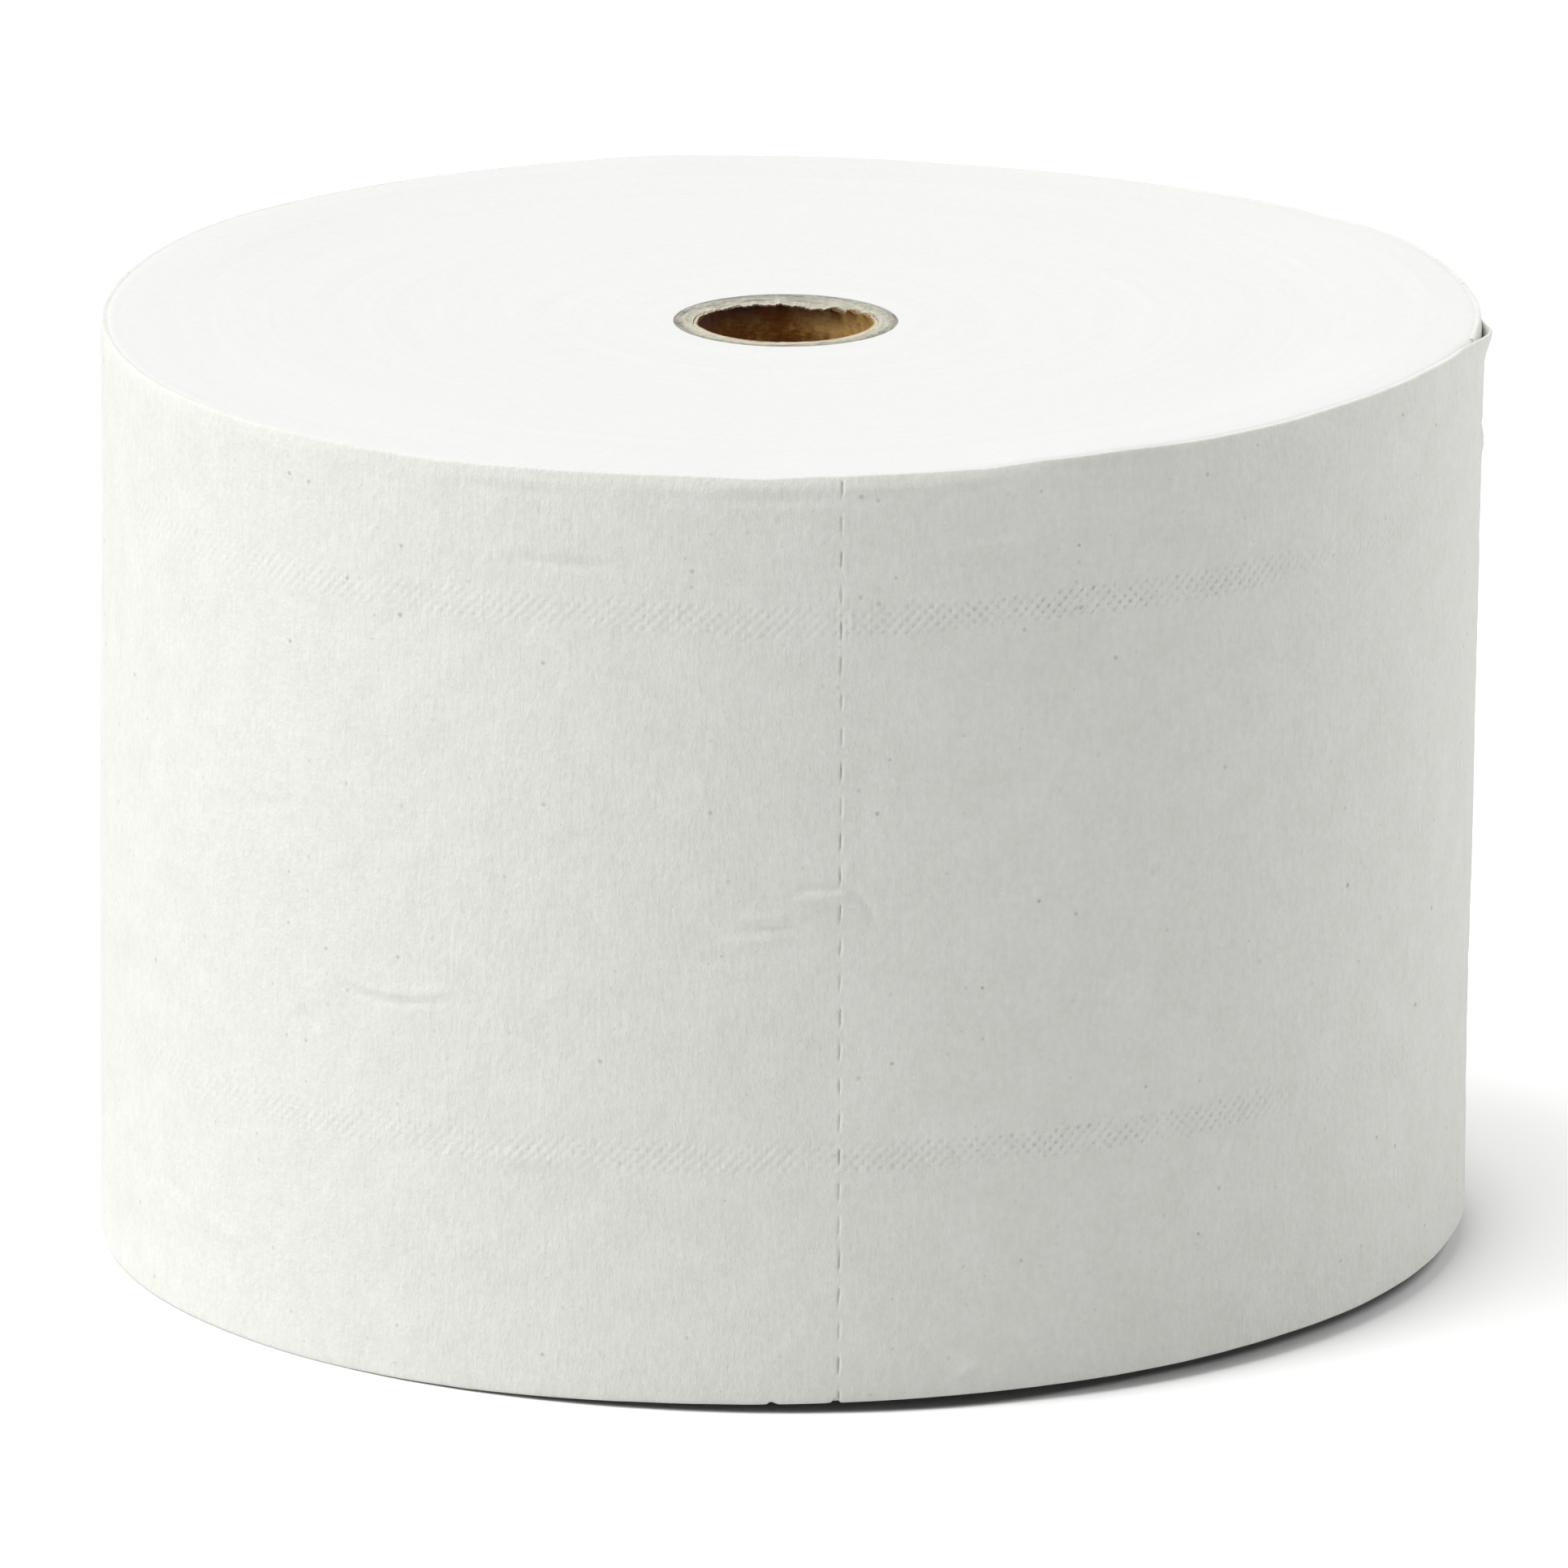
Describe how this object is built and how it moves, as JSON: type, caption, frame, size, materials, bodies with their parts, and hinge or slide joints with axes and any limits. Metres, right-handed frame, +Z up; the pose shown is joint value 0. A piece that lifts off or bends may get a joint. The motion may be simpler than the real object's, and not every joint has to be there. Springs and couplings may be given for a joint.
{
  "type": "toilet paper roll",
  "caption": "Compact roll of perforated tissue wound on a thick board core with a brown paper liner, for a narrow spindle.",
  "frame": {"origin": "on the core's axis, in the lower end face that the roll stands on", "axes": "+Z up along the core; -Y is the side that faces the viewer, with a perforation line just right of its middle"},
  "size_m": [0.1348, 0.1347, 0.092],
  "materials": {
    "tissue": "soft matt creped tissue, off-white with fine grey flecks",
    "grey_board": "sawn grey board with its plies showing",
    "kraft_liner": "brown unbleached paper, matt"
  },
  "bodies": {
    "root": {"tissue_roll": "tissue", "core_wall": "grey_board", "core_liner": "kraft_liner"}
  },
  "joints": []
}
